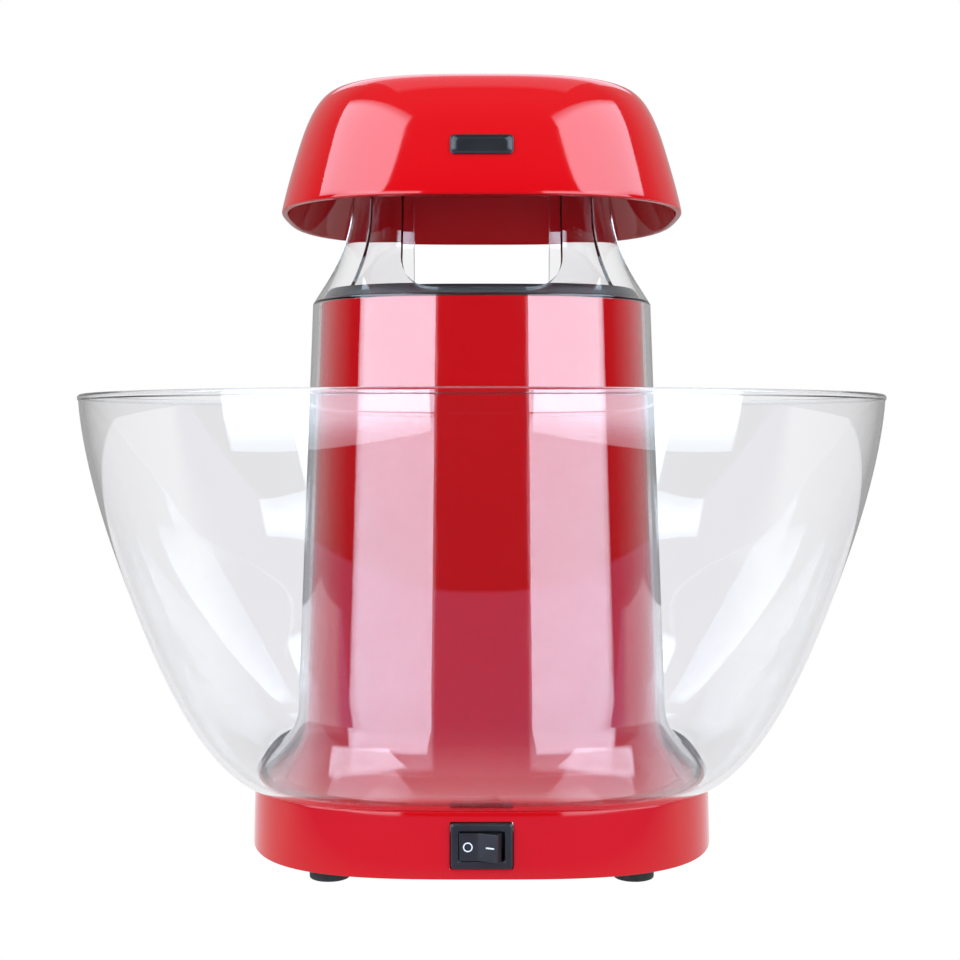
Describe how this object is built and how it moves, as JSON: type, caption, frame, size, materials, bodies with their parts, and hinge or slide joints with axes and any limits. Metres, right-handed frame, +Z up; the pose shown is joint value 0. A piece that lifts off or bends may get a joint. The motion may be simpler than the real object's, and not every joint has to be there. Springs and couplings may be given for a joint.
{
  "type": "hot-air popcorn maker",
  "caption": "Hot-air popcorn maker: red base and tower inside a clear chimney and catch bowl, with a lift-off red dome and a rocker switch.",
  "frame": {"origin": "middle of the footprint at the underside of the four feet", "axes": "+Z up, -Y to the front where the switch is, +X to the right seen from the front"},
  "size_m": [0.306, 0.306, 0.2856],
  "materials": {
    "red_gloss_plastic": "gloss",
    "clear_plastic": "gloss",
    "black_plastic": "satin",
    "badge_plastic": "gloss",
    "white_ink": "matte",
    "rubber": "matte",
    "aluminium": "satin",
    "sheet_steel": "satin",
    "screw_steel": "zinc",
    "ferrite": "matte",
    "rotor_steel": "satin",
    "mica": "matte",
    "resistance_wire": "oxidised",
    "control_ceramic": "matte",
    "board_laminate": "satin",
    "brass": "satin",
    "lead_sheath": "satin"
  },
  "bodies": {
    "base": {"base_shell": "red_gloss_plastic", "bottom_plate": "black_plastic", "rubber_feet": "rubber", "tower_housing": "red_gloss_plastic", "chamber_collar": "black_plastic", "popping_chamber": "aluminium", "heater_can": "sheet_steel", "mica_cross": "mica", "heating_coil": "resistance_wire", "thermostat": "control_ceramic", "thermal_fuse": "screw_steel", "fan_case": "black_plastic", "motor_can": "sheet_steel", "motor_magnet": "ferrite", "motor_end_cap": "black_plastic", "rectifier_board": "board_laminate", "switch_body": "black_plastic", "switch_terminals": "brass", "cord_gland": "black_plastic", "inner_leads": "lead_sheath", "plate_screws": "screw_steel", "tower_screws": "screw_steel", "fan_case_screws": "screw_steel", "motor_screws": "screw_steel"},
    "fan": {"motor_shaft": "sheet_steel", "impeller": "black_plastic", "shaft_nut": "screw_steel", "motor_rotor": "rotor_steel"},
    "rocker": {"switch_rocker": "black_plastic", "rocker_marks": "white_ink"},
    "bowl": {"bowl": "clear_plastic", "chimney": "clear_plastic"},
    "dome": {"dome": "red_gloss_plastic", "badge": "badge_plastic"}
  },
  "joints": [
    {"name": "bowl_lift", "type": "slide", "parent": "base", "child": "bowl", "axis": [0, 0, 1], "range_m": [0, 0.2]},
    {"name": "dome_lift", "type": "slide", "parent": "bowl", "child": "dome", "axis": [0, 0, 1], "range_m": [0, 0.06]},
    {"name": "switch_rock", "type": "hinge", "parent": "base", "child": "rocker", "pos_m": [0, -0.0834, 0.0192], "axis": [0, 0, 1], "range_deg": [0, 24]},
    {"name": "fan_spin", "type": "hinge", "parent": "base", "child": "fan", "pos_m": [0, 0, 0.0545], "axis": [0, 0, 1], "continuous": true}
  ]
}
